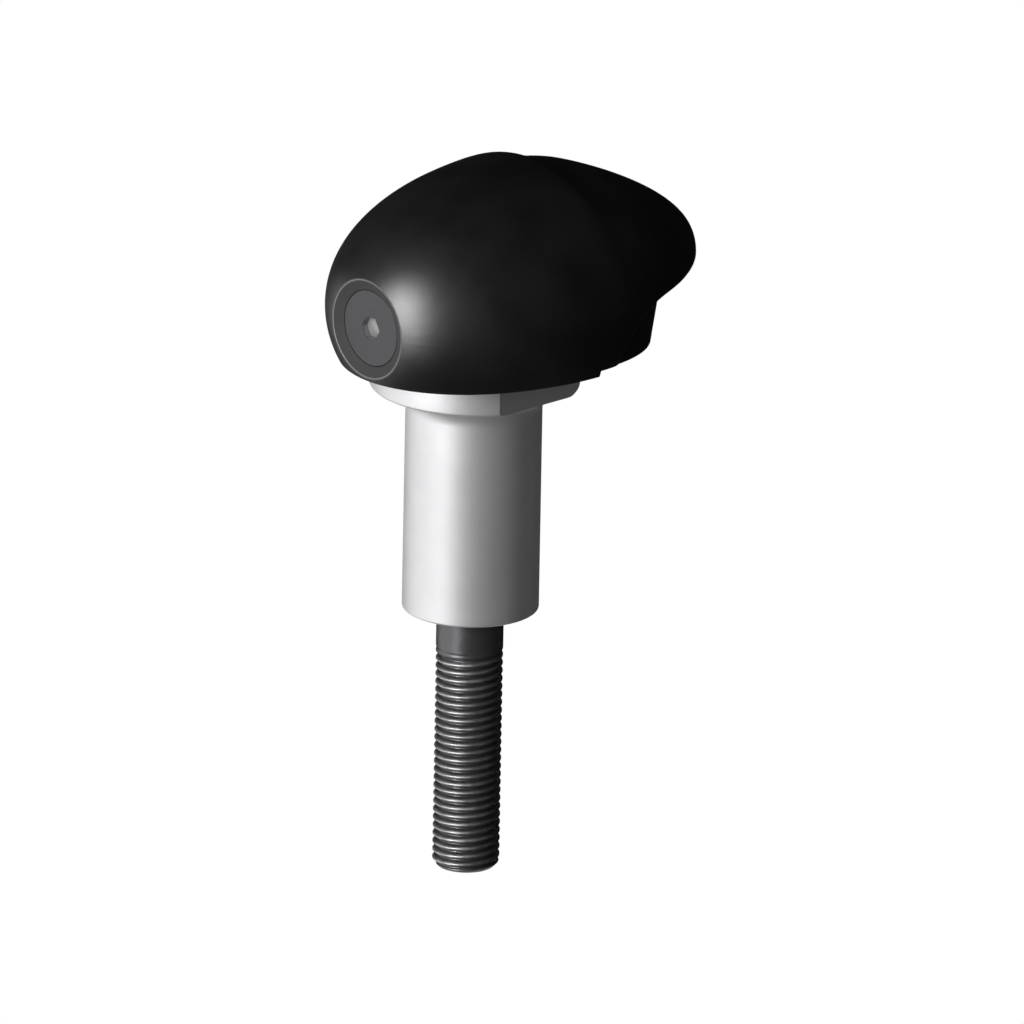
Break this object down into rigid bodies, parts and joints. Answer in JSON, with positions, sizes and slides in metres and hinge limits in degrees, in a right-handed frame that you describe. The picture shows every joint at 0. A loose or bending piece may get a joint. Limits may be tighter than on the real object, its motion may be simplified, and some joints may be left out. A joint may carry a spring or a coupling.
{
  "type": "frame slider",
  "caption": "Crash protector for a motorbike: a streamlined black pad on a flanged aluminium spacer, with a threaded stud that screws into the frame.",
  "frame": {"origin": "centre of the carrier's lower face, which seats against the motorbike", "axes": "+Z along the stud's axis from the bike towards the pad, +X along the pad from its nose to its tail"},
  "size_m": [0.0735, 0.0528, 0.1307],
  "materials": {
    "black_oxide_steel": "black oxide",
    "turned_aluminium": "satin turned",
    "black_polymer": "smooth moulded, soft sheen",
    "dark_steel": "dark grey plated"
  },
  "bodies": {
    "root": {"stud": "black_oxide_steel", "carrier": "turned_aluminium", "pad": "black_polymer", "pad_screw": "dark_steel"}
  },
  "joints": []
}
